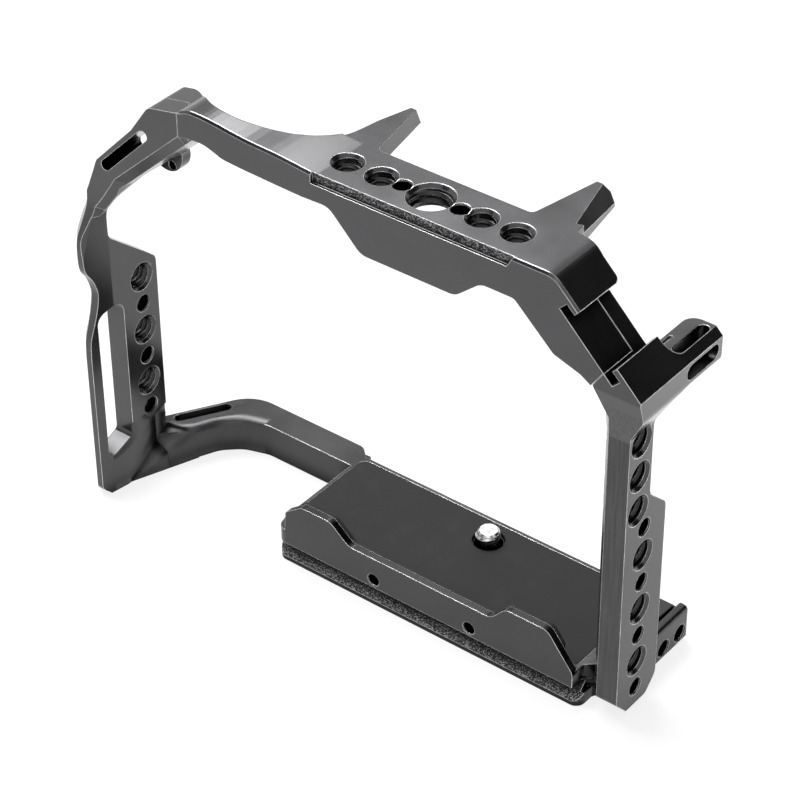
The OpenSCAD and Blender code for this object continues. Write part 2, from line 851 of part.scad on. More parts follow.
// The inner front edge is cut at 45 degrees along the front face, growing from nothing at the seam
column_c = 1.5;
chamfer_run = 8;
chamfer_lead = 0.8;
module inner_side() {
  rotate([0, 0, -slope]) side_slab(
    [
      [(right_in - front_d - column_c)/root_two, top_z*2],
      [(right_in - front_d)/root_two, seam_low[1]],
      [(right_in - column_front - chamfer_lead + column_c)/root_two, seam_low[1] - chamfer_run],
      [(right_in - column_front + column_c)/root_two, lean_z],
      [(right_in - column_front + column_c)/root_two, -over],
      [top_z*2, -over],
      [top_z*2, top_z*2]
    ],
    -top_z*2, top_z*2
  );
}
slot_in = 1.9;
slot_floor = 1.1;
slot_from = 8.7;
slot_run = 11.8;
slot_h = 3.8;
module lug_slots() {
  translate([lug_x - slot_in - strap_w, slot_from, lug_low + slot_floor]) {
    linear_extrude(lug_h + over) slot_shape(strap_w, slot_run);
  }
  translate([lug_x - slot_in - strap_w/2, slot_from, lug_low + slot_floor]) rotate([90, 0, 90]) {
    linear_extrude(lug_w) slot_shape(slot_run, slot_h);
  }
}
// A round-ended slot between the corner and [w, h]
module slot_shape(w, h) {
  r = min(w, h)/2;
  hull() for (p = [[r, r], [w - r, h - r]]) translate(p) circle(r = r);
}
module column_holes() {
  for (i = [0:2]) {
    translate([column_x, neck_hole_y, deck_z - neck_hole_drop - i*neck_pitch]) rotate([0, 90, 0]) {
      hole_cut(quarter_r, quarter_sink/2, column_w);
    }
  }
  for (i = [0:6]) {
    translate([column_x, column_hole_y, deck_z - column_hole_drop - i*hole_pitch]) rotate([0, 90, 0]) {
      if (i % 2 == 1) hole_cut(quarter_r, quarter_sink/2, column_w);
      else pin_cut(column_w);
    }
  }
}

// Cross-section of the base plate (y, z): dovetail grooves under both long edges
groove_top = land + groove;
seat_edge = 2;
base_side = [
  [-foot_front, 0], [-foot_front, land], [-foot_front + groove, groove_top], [-foot_front, groove_top],
  [-foot_front, base_t], [seat_rear, base_t], [seat_rear, base_t - seat_edge], [foot_rear - groove, groove_top],
  [foot_rear, land], [foot_rear, 0]
];
land_out = 2;
land_r = 4;
corner_in = 4.6;
function base_plan(less) = soft([
  [-base_left + land_out/2, -foot_front, land_r],
  [lip_right + land_out - less, -foot_front, land_r - less],
  [lip_right + land_out - less, -foot_front + land_r + over - less/2, less/2],
  [right_in - seam_gap - over, corner_in - less/2, less/2],
  [right_in - seam_gap, foot_rear],
  [-base_left, foot_rear],
  [-base_left, 0, land_r]
]);
// The arm seen from above: its outer side runs from the plate's foot round to the seat's rear edge.
// Places from the plate's inner face and roundings, as shares of the arm's reach
arm_front = arm_rear - arm_w;
arm_in_shares = [
  [0.019, 0.324, 0], [-0.101, 0.349, 0.03], [-0.192, 0.384, 0.06], [-0.28, 0.575, 0.25], [-0.415, 0.698, 0.25],
  [-0.619, 0.764, 0.25]
];
arm_out_shares = [[-0.286, 1, 0.31], [0.091, 0.374, 0.09], [0.176, 0.296, 0.09]];
arm_root = 2;
function from_plate(shares) = [for (p = shares) [-left_in - p[0]*arm_rear, p[1]*arm_rear, p[2]*arm_rear]];
arm_plan = soft(concat(
  [[-left_in, foot_y]],
  from_plate(arm_in_shares),
  [
    [-base_left + over, arm_front],
    [-base_left + over, seat_rear],
    [-base_left - arm_root, arm_rear, corner_r]
  ],
  from_plate(arm_out_shares),
  [[-left_out, foot_y]]
));
// The arm's body under its top lip starts from the plate's flared foot
arm_low_shares = [[-0.305, 0.874, 0.25], [-0.022, 0.44, 0.09]];
arm_low = soft(concat(
  [[flare_x, foot_y], [flare_high_shares[3][0]*flare_reach - left_in, flare_reach]],
  from_plate([for (i = [3:5]) arm_in_shares[i]]),
  [[-base_left + over, arm_front], [-base_left + over, arm_rear - over]],
  from_plate(arm_low_shares)
));
// Front outline of the lip: two humps with a notch between them. Places are shares of its length,
// counted from its left end and from its right end
lip_len = base_left + lip_right;
hump_left_shares = [0.032, 0.04, 0.0965, 0.198, 0.261];
hump_right_shares = [0.2635, 0.2165, 0.0824];
hump_step_share = 0.6;
hump_outline = soft([
  [-base_left + lip_len*hump_left_shares[0], groove_top, corner_r/3],
  [-base_left + lip_len*hump_left_shares[1], base_t + lip_h*hump_step_share, corner_r/3],
  [-base_left + lip_len*hump_left_shares[2], base_t + lip_h, corner_r],
  [-base_left + lip_len*hump_left_shares[3], base_t + lip_h, corner_r],
  [-base_left + lip_len*hump_left_shares[4], base_t + notch_h, corner_r],
  [lip_right - lip_len*hump_right_shares[0], base_t + notch_h, corner_r],
  [lip_right - lip_len*hump_right_shares[1], base_t + lip_h, corner_r],
  [lip_right - lip_len*hump_right_shares[2], base_t + lip_h, corner_r],
  [lip_right, base_t, corner_r],
  [lip_right, groove_top]
]);
lip_hole_z = 7.3;
lip_hole_c = 0.2;
module base_plate() {
  color("#424244") place() difference() {
    union() {
      intersection() {
        side_slab(base_side, -base_left, block_x);
        union() {
          plan_slab(base_plan(0), 0, land + groove/2);
          plan_slab(base_plan(land_out/2), land + groove/2, groove_top);
          plan_slab(base_plan(land_out), groove_top, base_t);
        }
      }
      front_slab(hump_outline, -lip_front, -lip_front + lip_t);
      plan_slab(arm_plan, 0, base_t);
      plan_slab(arm_low, 0, flare_h);
      intersection() {
        foot_flare();
        translate([-left_out, foot_y, 0]) cube([left_out, foot_rear, base_t]);
      }
      foot_root();
      rear_block();
    }
    translate([0, 0, base_t - sheet_t]) linear_extrude(sheet_t + over) seat_shape(0);
    for (side = [-1, 1]) translate([side*lip_hole_x, -lip_front, lip_hole_z]) rotate([90, 0, 0]) {
      hole_cut(lip_hole/2, lip_hole/2 + lip_hole_c, lip_t);
    }
    arm_slot_cut();
    block_drilling();
    screw_room();
    screw_holes();
    tenon(joint_gap, column_z + over);
    tenon_holes();
  }
}
// The plate's rear half at the foot belongs to the base plate, up to the slanted seam
root_end = 12;
module foot_root() {
  intersection() {
    side_slab(
      soft([
        [foot_y, 0],
        [foot_y, foot_z - foot_fall - seam_gap],
        [plate_rear, foot_z - seam_gap],
        [plate_rear, base_t, corner_r/2],
        [root_end, base_t],
        [root_end, 0]
      ]),
      -left_out, -left_in
    );
    plan_slab(arm_plan, 0, foot_z + over);
  }
}
// Block behind the column, with a rounded rib along its outer side
block_t = 8;
rib_top = 9.7;
rib_w = 2.8;
rib_c = 0.6;
block_low = 0.5;
block_end = 30;
block_hole_y = 20.7;
block_hole_step = 6.5;
block_hole_z = 3.5;
block_hole_t = 6;
drill_share = 0.6;
module rear_block() {
  front_slab(
    soft([
      [lip_right, block_low],
      [block_x, block_low, rib_c],
      [block_x, rib_top, rib_w],
      [block_x - rib_w + rib_c, rib_top, rib_c],
      [block_x - rib_w, block_t],
      [lip_right, block_t]
    ]),
    column_rear + seam_gap, block_end
  );
}
// Blind holes with the tip that a drill leaves
module block_drilling() {
  for (i = [0, 1]) {
    translate([block_x, block_hole_y + i*block_hole_step, block_hole_z]) rotate([0, 90, 0]) {
      pin_cut(block_hole_t);
      translate([0, 0, -block_hole_t - over - pin_r*drill_share]) {
        cylinder(r1 = 0, r2 = pin_r, h = pin_r*drill_share);
      }
    }
  }
}
arm_slot_x = 89;
arm_slot_y = 12.2;
arm_slot_len = 14.7;
arm_slot_turn = 58.9;
module arm_slot_cut() {
  translate([-arm_slot_x, arm_slot_y, -over]) rotate([0, 0, arm_slot_turn]) linear_extrude(base_t*2) {
    translate([0, -arm_slot/2]) slot_shape(arm_slot_len, arm_slot);
  }
}
// The recess for the rubber sheet follows the seat a little inside its edges
seat_front = -lip_front + lip_t + pad_t;
seat_in = 1;
seat_mid = 16;
seat_skew = 5;
seat_r = 2;
module seat_shape(less) {
  polygon(soft([
    [-base_left + seat_skew + less, seat_front + less, seat_r/4],
    [lip_right - seat_in - less, seat_front + less, seat_r/4],
    [lip_right - seat_in - less, seat_rear - seat_in - less, seat_r],
    [-base_left + seat_in + less, seat_rear - seat_in - less, seat_r],
    [-base_left + seat_in + less, seat_in, seat_r]
  ]));
}
// Stepped room of the camera screw, open below; the retaining ring sits in its mouth
ring_in = 0.5;
ring_w = 2;
head_z = ring_in + ring_t + seam_gap;
room_t = head_z + head_t + play*2;
coin_w = 1.6;
coin_depth = 1.2;
tip_c = 0.85;
pad_hole_r = 3.9;
// The screw's thread starts a little above the seat, over a thinner shank
thread_in = 0.3;
shank_r = 2.55;
module screw_room() {
  translate([0, screw_y, -over]) {
    cylinder(r = quarter_d/2 + play, h = base_t*2);
    cylinder(r = head_d/2 + play, h = over + room_t);
  }
}
lip_pad_in = 6;
lip_pad_end = 4;
module lip_pad() {
  color("#1c1c1d") place() intersection() {
    front_slab(hump_outline, -lip_front + lip_t, seat_front);
    translate([-base_left + lip_pad_in, -lip_front, base_t]) {
      cube([base_left + lip_right - lip_pad_in - lip_pad_end, lip_front*2, lip_h*2]);
    }
  }
}
module seat_pad() {
  color("#262627") place() difference() {
    translate([0, 0, base_t - sheet_t]) linear_extrude(sheet_t) seat_shape(seam_gap);
    translate([0, screw_y, -over]) cylinder(r = pad_hole_r, h = base_t*2);
  }
}
module camera_screw() {
  color("#c8c8ca") place() translate([0, screw_y, 0]) {
    difference() {
      translate([0, 0, head_z]) cylinder(r = head_d/2, h = head_t);
      translate([-head_d, -coin_w/2, head_z - over]) cube([head_d*2, coin_w, coin_depth + over]);
    }
    translate([0, 0, head_z + head_t - over]) cylinder(r = shank_r, h = base_t + thread_in - head_z - head_t + over*2);
    translate([0, 0, base_t + thread_in]) cylinder(r = quarter_d/2, h = screw_reach - tip_c - thread_in);
    translate([0, 0, base_t + screw_reach - tip_c]) {
      cylinder(r1 = quarter_d/2, r2 = quarter_d/2 - tip_c, h = tip_c);
    }
  }
}
module screw_ring() {
  color("#8a8a8c") place() translate([0, screw_y, 0]) difference() {
    translate([0, 0, ring_in]) cylinder(r = head_d/2 + play, h = ring_t);
    translate([0, 0, -over]) cylinder(r = head_d/2 - ring_w, h = ring_in + ring_t + over*2);
  }
}

// Joint screws: seats of the heads, all driven from the rear towards the lens side
shank = 6;
joint_r = joint_d/2;
head_r = joint_head/2;
joint_gap = 0.1;
// Places in the left lap (past the seam, below the deck), along the shoulder and up the foot
lap_joint_shares = [[0.322, 0.378], [0.744, 0.667]];
shoulder_joint_shares = [1.056, 0.389];
joint_in = 2.5;
foot_joint_shares = [0.281, 0.756];
foot_joint_in = 3;
joint_seats = concat(
  [
    for (p = lap_joint_shares)
      [-left_span - lap_len*p[0], stretch_rear - joint_head_h, deck_z - lap_len*p[1]]
  ],
  [
    for (share = shoulder_joint_shares)
      let(p = slope_at(seam_s - share*shoulder_t, shoulder_t - joint_in))
      [p[0], shoulder_rear - joint_head_h, p[1]]
  ],
  [for (share = foot_joint_shares) [-(left_in + left_out)/2, foot_y + foot_joint_in, foot_z*share]]
);
module screw(gap, reach) {
  translate([0, 0, -shank - gap]) cylinder(r = joint_r + gap, h = shank + gap + over/2);
  cylinder(r = head_r + gap, h = joint_head_h + reach);
}
module screw_holes() {
  for (p = joint_seats) translate(p) rotate([-90, 0, 0]) screw(joint_gap, shank);
}
module socket() {
  translate([0, 0, joint_head_h/2]) cylinder(r = joint_r/root_two, h = joint_head_h, $fn = 6);
}
module joint_screws() {
  color("#2a2a2b") place() for (p = joint_seats) translate(p) rotate([-90, 0, 0]) difference() {
    screw(0, 0);
    socket();
  }
}

// Tenon at the column's foot, let into the base plate from below and held by two short screws
tenon_len = 13;
tenon_y = 5.4;
tenon_w = 5.5;
tenon_h = 3.4;
short_shank = 4;
tenon_joint_shares = [0.277, 0.769];
tenon_seats = [
  for (share = tenon_joint_shares) [right_in - tenon_len*share, tenon_y + tenon_w/2, column_z + joint_head_h]
];
module tenon(gap, drop) {
  translate([right_in - tenon_len - gap, tenon_y - gap, column_z - drop]) {
    cube([tenon_len + over, tenon_w + gap*2, tenon_h + gap + drop]);
  }
}
module short_screw(gap, reach) {
  mirror([0, 0, 1]) {
    translate([0, 0, -short_shank - gap]) cylinder(r = joint_r + gap, h = short_shank + gap + over/2);
    cylinder(r = head_r + gap, h = joint_head_h + reach);
  }
}
module tenon_holes() {
  for (p = tenon_seats) translate(p) short_screw(joint_gap, over);
}
module tenon_screws() {
  color("#2a2a2b") place() for (p = tenon_seats) translate(p) difference() {
    short_screw(0, 0);
    mirror([0, 0, 1]) socket();
  }
}

top_bar();
left_frame();
right_bracket();
base_plate();
lip_pad();
seat_pad();
camera_screw();
screw_ring();
joint_screws();
tenon_screws();
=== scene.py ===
import json
import math

import bmesh
import bpy
from bpy.props import FloatProperty, FloatVectorProperty, IntProperty, PointerProperty
from mathutils import Matrix, Vector


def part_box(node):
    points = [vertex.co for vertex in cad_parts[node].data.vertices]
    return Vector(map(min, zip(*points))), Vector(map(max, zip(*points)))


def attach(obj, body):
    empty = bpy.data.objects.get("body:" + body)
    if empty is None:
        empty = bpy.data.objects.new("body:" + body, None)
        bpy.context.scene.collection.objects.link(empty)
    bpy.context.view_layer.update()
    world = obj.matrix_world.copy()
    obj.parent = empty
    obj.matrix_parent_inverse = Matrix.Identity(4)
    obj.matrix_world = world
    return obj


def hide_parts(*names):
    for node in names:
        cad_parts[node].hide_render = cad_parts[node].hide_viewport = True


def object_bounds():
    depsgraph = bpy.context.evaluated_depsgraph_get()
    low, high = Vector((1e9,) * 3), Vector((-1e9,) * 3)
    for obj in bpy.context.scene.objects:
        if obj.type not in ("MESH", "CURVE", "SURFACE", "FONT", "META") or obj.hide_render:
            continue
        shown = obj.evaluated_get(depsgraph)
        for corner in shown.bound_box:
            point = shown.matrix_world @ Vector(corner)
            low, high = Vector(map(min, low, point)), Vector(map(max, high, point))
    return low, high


bl_info = {
    "name": "Camera Cage Looks",
    "version": (1, 0, 0),
    "blender": (4, 5, 0),
    "location": "View3D > Sidebar > Cage",
    "description": "Finishes, threads and studio for the camera cage built from its packed solids",
    "category": "Object",
}

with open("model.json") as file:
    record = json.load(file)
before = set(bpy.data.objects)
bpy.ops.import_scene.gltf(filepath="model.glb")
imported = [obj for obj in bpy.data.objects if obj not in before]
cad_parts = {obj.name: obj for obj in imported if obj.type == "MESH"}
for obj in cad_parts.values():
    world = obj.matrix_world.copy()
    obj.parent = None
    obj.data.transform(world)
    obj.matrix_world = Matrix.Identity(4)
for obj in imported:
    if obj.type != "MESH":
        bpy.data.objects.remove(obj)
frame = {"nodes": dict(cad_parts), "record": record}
CAD_LOW, CAD_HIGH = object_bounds()
CAGE = frame["nodes"]
MOUNTS = {m["name"]: m for m in frame["record"]["mounts"]}
SCREW_LOW, SCREW_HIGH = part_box("camera_screw")
SEAT_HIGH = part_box("seat_pad")[1]
PAD_LOW, PAD_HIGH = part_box("lip_pad")


class CageFinish(bpy.types.PropertyGroup):
    """Colours and surface detail of the metal and the rubber"""
    frame_colour: FloatVectorProperty(
        name="Frame", description="Anodised metal of the bars and the bracket",
        subtype="COLOR", default=(0.078, 0.078, 0.081), min=0, max=1)
    base_colour: FloatVectorProperty(
        name="Base", description="Anodised metal of the base plate",
        subtype="COLOR", default=(0.058, 0.058, 0.06), min=0, max=1)
    # Bright edge colour: partly bare metal worn through the anodising, partly painted highlight
    edge_wear_and_highlight_colour: FloatVectorProperty(
        name="Edge", description="Metal that shows along the machined edges",
        subtype="COLOR", default=(0.85, 0.85, 0.86), min=0, max=1)
    rubber_colour: FloatVectorProperty(
        name="Rubber", description="Sheet on the seat and lining of the lip",
        subtype="COLOR", default=(0.014, 0.014, 0.015), min=0, max=1)
    steel_colour: FloatVectorProperty(
        name="Screw", description="Bright steel of the camera screw",
        subtype="COLOR", default=(0.62, 0.62, 0.63), min=0, max=1)
    sheen_spread: FloatProperty(
        name="Satin", description="Roughness of the anodised faces", default=0.2, min=0, max=1)
    grain_size: FloatProperty(
        name="Grain", description="Size of the blasted grain",
        subtype="DISTANCE", unit="LENGTH", default=0.0003, min=0.00005, max=0.002)
    edge_width: FloatProperty(
        name="Edge width", description="Rounding that catches the light along each edge",
        subtype="DISTANCE", unit="LENGTH", default=0.0004, min=0.00005, max=0.002)
    flow_width: FloatProperty(
        name="Flow width", description="Rounding where the foot flows into the arm",
        subtype="DISTANCE", unit="LENGTH", default=0.004, min=0.0005, max=0.01)
    # How far the painted shade of a hole, slot or seam reaches round it
    hollow_shade_reach: FloatProperty(
        name="Hollow reach", description="How far a hole, slot or seam darkens the metal round it",
        subtype="DISTANCE", unit="LENGTH", default=0.005, min=0.0005, max=0.02)


class CageThreads(bpy.types.PropertyGroup):
    """Threads cut in the accessory holes"""
    quarter_pitch: FloatProperty(
        name="1/4 pitch", description="Pitch of the 1/4 inch thread",
        subtype="DISTANCE", unit="LENGTH", default=0.00127, min=0.0005, max=0.003)
    big_pitch: FloatProperty(
        name="3/8 pitch", description="Pitch of the 3/8 inch thread",
        subtype="DISTANCE", unit="LENGTH", default=0.0015875, min=0.0005, max=0.003)
    ridge_share: FloatProperty(
        name="Ridge", description="Height of a ridge as a share of the pitch",
        default=0.38, min=0.1, max=0.6)
    steps: IntProperty(
        name="Steps", description="Steps round one turn of a thread", default=48, min=12, max=160)


class CageScrew(bpy.types.PropertyGroup):
    """The captive screw that holds the camera"""
    head_height: FloatProperty(
        name="Head", description="Height of the head",
        subtype="DISTANCE", unit="LENGTH", default=0.0026, min=0.001, max=0.006)
    shank_radius: FloatProperty(
        name="Shank", description="Radius of the shank under the thread",
        subtype="DISTANCE", unit="LENGTH", default=0.00255, min=0.001, max=0.003)
    thread_radius: FloatProperty(
        name="Thread", description="Outside radius of the thread",
        subtype="DISTANCE", unit="LENGTH", default=0.003175, min=0.001, max=0.006)
    slot_width: FloatProperty(
        name="Coin slot", description="Width of the slot across the head",
        subtype="DISTANCE", unit="LENGTH", default=0.0016, min=0.0005, max=0.004)
    slot_depth: FloatProperty(
        name="Slot depth", description="Depth of the slot across the head",
        subtype="DISTANCE", unit="LENGTH", default=0.0012, min=0.0005, max=0.0025)


class CageStage(bpy.types.PropertyGroup):
    """Camera, floor, sky and lamps"""
    view_turn: FloatProperty(
        name="Turn", description="Turn of the camera from the lens side towards the right",
        subtype="ANGLE", unit="ROTATION", default=math.radians(38.34))
    view_rise: FloatProperty(
        name="Rise", description="Height of the camera as an angle",
        subtype="ANGLE", unit="ROTATION", default=math.radians(36.73))
    view_roll: FloatProperty(
        name="Roll", description="Roll of the camera",
        subtype="ANGLE", unit="ROTATION", default=math.radians(-0.48))
    view_distance: FloatProperty(
        name="Distance", description="Camera to the middle of the deck",
        subtype="DISTANCE", unit="LENGTH", default=0.57219, min=0.1, max=5)
    view_side: FloatProperty(
        name="Side step", description="Step of the camera to its left",
        subtype="DISTANCE", unit="LENGTH", default=0.00636)
    view_drop: FloatProperty(
        name="Drop", description="Step of the camera downwards",
        subtype="DISTANCE", unit="LENGTH", default=0.04158)
    lens: FloatProperty(
        name="Lens", description="Focal length on a 36 mm sensor, in millimetres",
        default=125.83, min=20, max=400)
    floor_size: FloatProperty(
        name="Floor", description="Width of the floor",
        subtype="DISTANCE", unit="LENGTH", default=8, min=1, max=40)
    sky: FloatProperty(
        name="Sky", description="Light that comes from all round", default=0.4, min=0, max=2)
    soft_box: FloatProperty(
        name="Softbox", description="Power of the softbox behind the cage, in watts",
        default=10.0, min=0, max=60)
    key: FloatProperty(
        name="Key", description="Power of the lamp on the lens side, in watts", default=1.2, min=0, max=60)
    pool: FloatProperty(
        name="Pool", description="Power of the lamp over the floor beside the column, in watts",
        default=2.8, min=0, max=60)


# Patterns of the materials, as sizes and bump depths in metres
BLOTCH = 0.012
EDGE_WEAR = 0.004
BRUSH_LINE = 0.0005
PEBBLE = 0.0004
DUST = 0.006
TURNED_RING = 0.0003
SCUFF = 0.002
GRAIN_DEPTH = 0.00001
PEBBLE_DEPTH = 0.00003
RING_DEPTH = 0.000006

# Cosine between a face and its rounded normal, where an edge starts to show and where it shows in full
EDGE_START, EDGE_FULL = 0.993, 0.92

# Stretch of a pattern along the cage's height: long upright lines, and close rings round the screw
UPRIGHT = (1, 1, 0.04)
RINGED = (1, 1, 6)

# Brightness of each part of the anodised metal, as a share of its colour
BLOTCH_DARK, BLOTCH_LIGHT = 0.9, 1.1
# Painted glints on the coarse grain, as a share of the ground's brightness
PAINTED_GLINT = 14
LINE_TONE = 0.45
# Painted shade within the shaded boxes
SHADED_TONE = 0.35
# Painted shade deep in holes, slots and seams
HOLLOW_SHADE_TONE = 0.1
# Width of its bright edges, which are partly worn metal and partly painted highlight, as a share of their
# rounding, and how much of them stays where they are worn least
BRIGHT_EDGE_SHARE = 0.6
LEAST_EDGE = 0.55
# How far its roughness goes below and above the satin value, and what the coarse grain adds
SMOOTHER, ROUGHER = 0.03, 0.04
COARSE_ROUGHNESS = 0.2
# Height of the fine and of the coarse grain, as a share of the grain's depth
FINE_GRAIN, COARSE_GRAIN = 0.12, 3.0
ANODISED_METALLIC = 0.9

# Rubber: brightness of its dust as a share of its colour, least and most roughness, and its gloss
DUST_TONE = 1.5
RUBBER_SMOOTH, RUBBER_ROUGH = 0.62, 0.75
RUBBER_GLOSS = 0.22

# Steel: brightness of its faces, its worn patches and the painted shade in its hollows as a share of its
# colour, and what wear adds
STEEL_FACE, STEEL_WORN, STEEL_HOLLOW_SHADE = 0.85, 0.6, 0.08
# Painted highlight along the steel's edges, as a share of its colour
STEEL_EDGE_HIGHLIGHT = 1.15
STEEL_WEAR_ROUGHNESS = 0.12

# Samples of the wide rounding where the foot flows, which needs more than an edge does
FLOW_SAMPLES = 12


class Finish:
    """A node material under construction"""

    def __init__(self, name):
        self.material = bpy.data.materials.new(name)
        self.material.use_nodes = True
        self.tree = self.material.node_tree
        self.tree.nodes.clear()
        self.output = self.add("OutputMaterial")
        self.place = self.add("TexCoord").outputs["Object"]

    def add(self, kind, **settings):
        made = self.tree.nodes.new("ShaderNode" + kind)
        for key, value in settings.items():
            setattr(made, key, value)
        return made

    def put(self, socket, value):
        """Link another node's output to the socket, or set a constant on it"""
        if isinstance(value, bpy.types.NodeSocket):
            self.tree.links.new(value, socket)
        else:
            socket.default_value = value

    def feed(self, node, **inputs):
        for key, value in inputs.items():
            self.put(node.inputs[key.replace("_", " ")], value)
        return node

    def noise(self, size, detail=2.0, stretch=None):
        place = self.place
        if stretch:
            turned = self.feed(self.add("Mapping"), Vector=place, Scale=stretch)
            place = turned.outputs["Vector"]
        return self.feed(self.add("TexNoise"), Vector=place, Scale=1/size, Detail=detail).outputs["Fac"]

    def ramp(self, value, low, high, out_low=0.0, out_high=1.0):
        node = self.add("MapRange")
        self.feed(node, Value=value, From_Min=low, From_Max=high, To_Min=out_low, To_Max=out_high)
        return node.outputs["Result"]

    def maths(self, operation, a, b):
        node = self.add("Math", operation=operation)
        for socket, value in zip(node.inputs, (a, b)):
            self.put(socket, value)
        return node.outputs["Value"]

    def vectors(self, operation, a, b):
        node = self.add("VectorMath", operation=operation)
        for socket, value in zip(node.inputs, (a, b)):
            self.put(socket, value)
        return node

    def blend(self, share, a, b):
        """From colour a at share 0 to colour b at share 1"""
        node = self.add("Mix", data_type="RGBA")
        for index, value in ((0, share), (6, a), (7, b)):
            self.put(node.inputs[index], value)
        return node.outputs[2]

    def turned(self, share, a, b):
        """From direction a at share 0 to direction b at share 1"""
        node = self.add("Mix", data_type="VECTOR")
        for index, value in ((0, share), (4, a), (5, b)):
            self.put(node.inputs[index], value)
        return node.outputs[1]

    def any_of(self, boxes):
        """1 within one of these boxes"""
        share = None
        for low, high in boxes:
            box = self.inside(low, high)
            share = box if share is None else self.maths("MAXIMUM", share, box)
        return share

    def rounded(self, width, samples=6):
        node = self.add("Bevel", samples=samples)
        return self.feed(node, Radius=width).outputs["Normal"]

    def edges(self, width):
        """1 on an edge, 0 away from it"""
        face = self.add("NewGeometry").outputs["True Normal"]
        match = self.vectors("DOT_PRODUCT", self.rounded(width), face).outputs["Value"]
        return self.ramp(match, EDGE_START, EDGE_FULL)

    def painted_hollow_shade(self, reach):
        """Painted shade mask from ambient occlusion: 0 deep in a hole, slot or seam, 1 in the open"""
        node = self.add("AmbientOcclusion", samples=8)
        return self.feed(node, Distance=reach).outputs["AO"]

    def inside(self, low, high):
        """1 within a box of the cage, 0 outside"""
        middle = [(a + b)/2 for a, b in zip(low, high)]
        half = [(b - a)/2 for a, b in zip(low, high)]
        off = self.vectors("SUBTRACT", self.place, middle).outputs["Vector"]
        off = self.vectors("ABSOLUTE", off, (0, 0, 0)).outputs["Vector"]
        room = self.vectors("SUBTRACT", half, off).outputs["Vector"]
        parts = self.feed(self.add("SeparateXYZ"), Vector=room)
        least = self.maths("MINIMUM", parts.outputs[0], parts.outputs[1])
        least = self.maths("MINIMUM", least, parts.outputs[2])
        return self.maths("GREATER_THAN", least, 0.0)

    def bumped(self, height, depth, normal=None, strength=1.0):
        node = self.feed(self.add("Bump"), Height=height, Distance=depth, Strength=strength)
        if normal:
            self.feed(node, Normal=normal)
        return node.outputs["Normal"]

    def close(self, **inputs):
        shader = self.feed(self.add("BsdfPrincipled"), **inputs)
        self.tree.links.new(shader.outputs["BSDF"], self.output.inputs["Surface"])
        return self.material


def rgba(colour, gain=1.0):
    return [min(1.0, c*gain) for c in colour] + [1.0]


def anodised(name, colour, grainy, ground, flowing, brushed=(), shaded=()):
    """Blasted and anodised aluminium: fine grain, soft blotches, bright machined edges that are partly worn
    metal and partly painted highlight, painted glints on the coarse grain and painted shade in hollows
    """
    finish = bpy.context.scene.cage_finish
    made = Finish(name)
    grain = made.noise(finish.grain_size, 3.0)
    blotch = made.noise(BLOTCH, 2.0)
    coarse = made.any_of(grainy)
    hollow_shade = made.painted_hollow_shade(finish.hollow_shade_reach)
    # Bright edges, partly worn bare metal and partly painted highlight, faded inside hollows and where the
    # foot flows
    edge = made.edges(finish.edge_width*BRIGHT_EDGE_SHARE)
    edge = made.maths("MULTIPLY", edge, made.ramp(hollow_shade, 0.3, 0.6))
    kept = made.ramp(made.noise(EDGE_WEAR, 3.0), 0.3, 0.65, LEAST_EDGE, 1.0)
    edge = made.maths("MULTIPLY", edge, kept)
    normal = made.rounded(finish.edge_width)
    flow = made.any_of(flowing)
    normal = made.turned(flow, normal, made.rounded(finish.flow_width, FLOW_SAMPLES))
    edge = made.maths("MULTIPLY", edge, made.ramp(flow, 0, 1, 1, 0))
    tone = made.blend(blotch, rgba(colour, BLOTCH_DARK), rgba(colour, BLOTCH_LIGHT))
    tone = made.blend(coarse, tone, rgba(colour, ground))
    # Painted glints: bright specks on the coarse grain
    painted_glints = made.maths("MULTIPLY", coarse, made.ramp(grain, 0.5, 0.62))
    tone = made.blend(painted_glints, tone, rgba(colour, ground*PAINTED_GLINT))
    if brushed:
        lines = made.ramp(made.noise(BRUSH_LINE, 4.0, UPRIGHT), 0.35, 0.65, 0, 0.5)
        lines = made.maths("MULTIPLY", made.any_of(brushed), lines)
        tone = made.blend(lines, tone, rgba(colour, LINE_TONE))
    # Painted shade within the shaded boxes
    if shaded:
        tone = made.blend(made.any_of(shaded), tone, rgba(colour, SHADED_TONE))
    # Painted shade: darker deep in holes, slots and seams
    tone = made.blend(made.ramp(hollow_shade, 0.5, 0.97), rgba(colour, HOLLOW_SHADE_TONE), tone)
    tone = made.blend(edge, tone, rgba(finish.edge_wear_and_highlight_colour))
    satin = finish.sheen_spread
    spread = made.ramp(blotch, 0.3, 0.7, satin - SMOOTHER, satin + ROUGHER)
    spread = made.maths("ADD", spread, made.maths("MULTIPLY", coarse, COARSE_ROUGHNESS))
    height = made.ramp(coarse, 0, 1, FINE_GRAIN, COARSE_GRAIN)
    height = made.maths("MULTIPLY", made.ramp(grain, 0.35, 0.65), height)
    return made.close(Base_Color=tone, Metallic=ANODISED_METALLIC, Roughness=spread,
                      Normal=made.bumped(height, GRAIN_DEPTH, normal))


def rubber(name, colour):
    """Moulded rubber: matt, with a fine pebbled skin"""
    finish = bpy.context.scene.cage_finish
    made = Finish(name)
    pebbles = made.noise(PEBBLE, 2.0)
    dust = made.noise(DUST, 4.0)
    tone = made.blend(made.ramp(dust, 0.4, 0.7), rgba(colour), rgba(colour, DUST_TONE))
    spread = made.ramp(dust, 0.3, 0.7, RUBBER_SMOOTH, RUBBER_ROUGH)
    normal = made.bumped(pebbles, PEBBLE_DEPTH, made.rounded(finish.edge_width))
    return made.close(Base_Color=tone, Metallic=0.0, Roughness=spread, Normal=normal,
                      Specular_IOR_Level=RUBBER_GLOSS)


